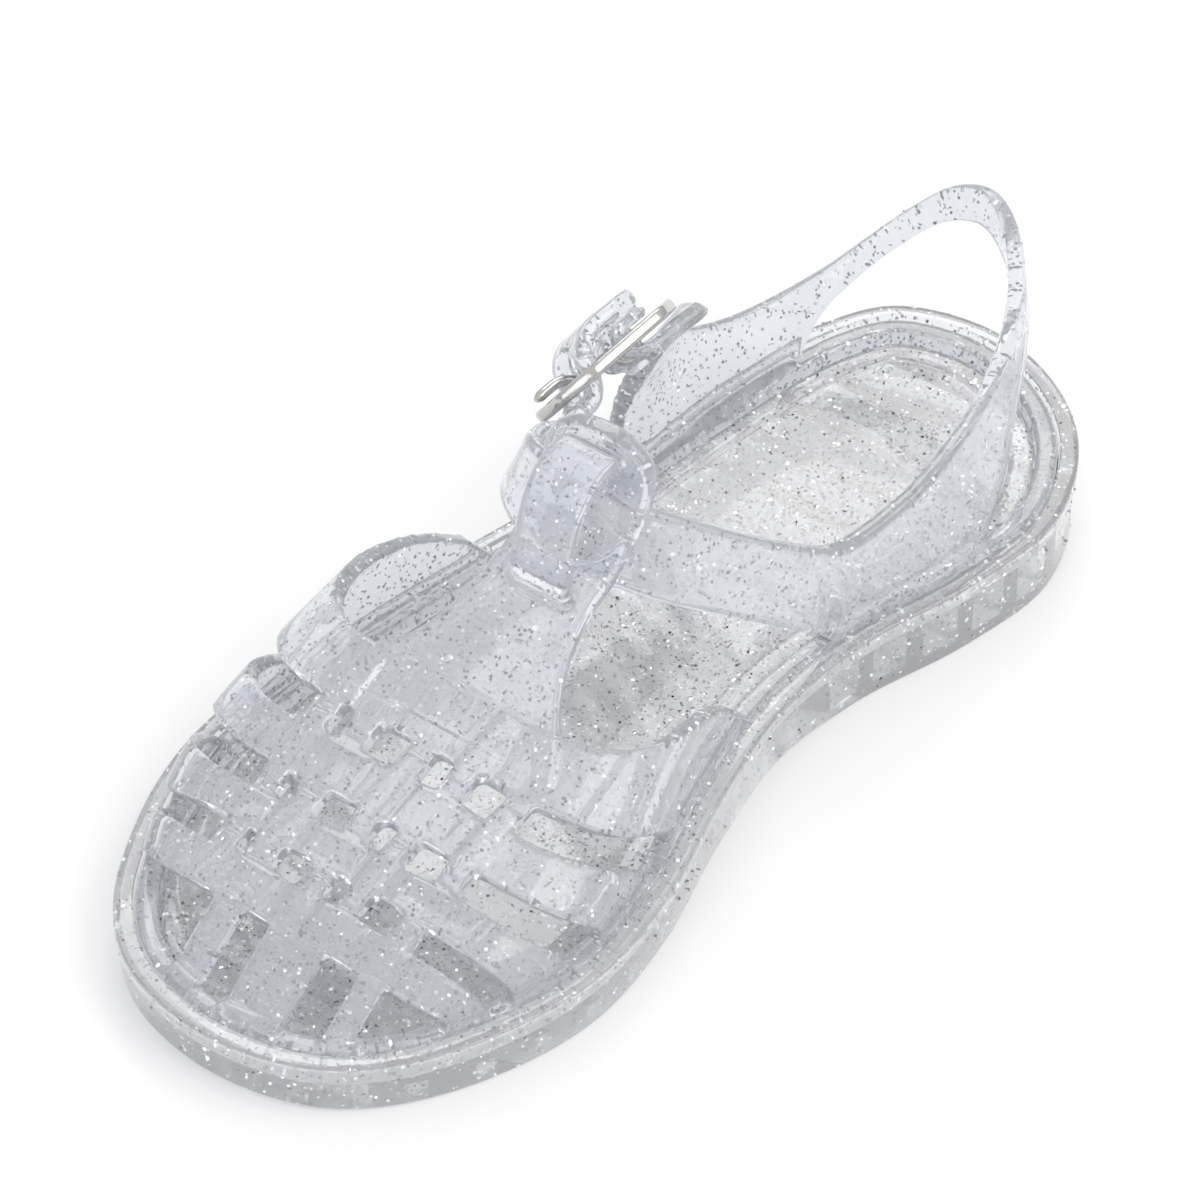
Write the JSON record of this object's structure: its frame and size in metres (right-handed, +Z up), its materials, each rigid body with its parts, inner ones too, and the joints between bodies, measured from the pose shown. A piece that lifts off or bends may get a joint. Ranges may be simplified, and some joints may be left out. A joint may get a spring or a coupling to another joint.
{
  "type": "jelly sandal",
  "caption": "Child's clear moulded jelly sandal for the right foot, with a woven vamp, a T-bar with a keeper, a heel strap and a buckled ankle strap.",
  "frame": {"origin": "centre of the shoe's bounding box, on the plane that the sole stands on", "axes": "+Z up, -Y from the heel to the toe, +X towards the inner side of the right foot"},
  "size_m": [0.068, 0.1632, 0.0572],
  "materials": {
    "clear_upper": "clear soft plastic with silver glitter, glossy",
    "clear_sole": "clear soft plastic with silver glitter, glossy",
    "clear_footbed": "clear soft plastic with silver glitter, satin",
    "bright_nickel": "bright nickel plate"
  },
  "bodies": {
    "root": {"sole": "clear_sole", "footbed": "clear_footbed", "upper": "clear_upper", "buckle_frame": "bright_nickel", "buckle_prong": "bright_nickel"}
  },
  "joints": []
}
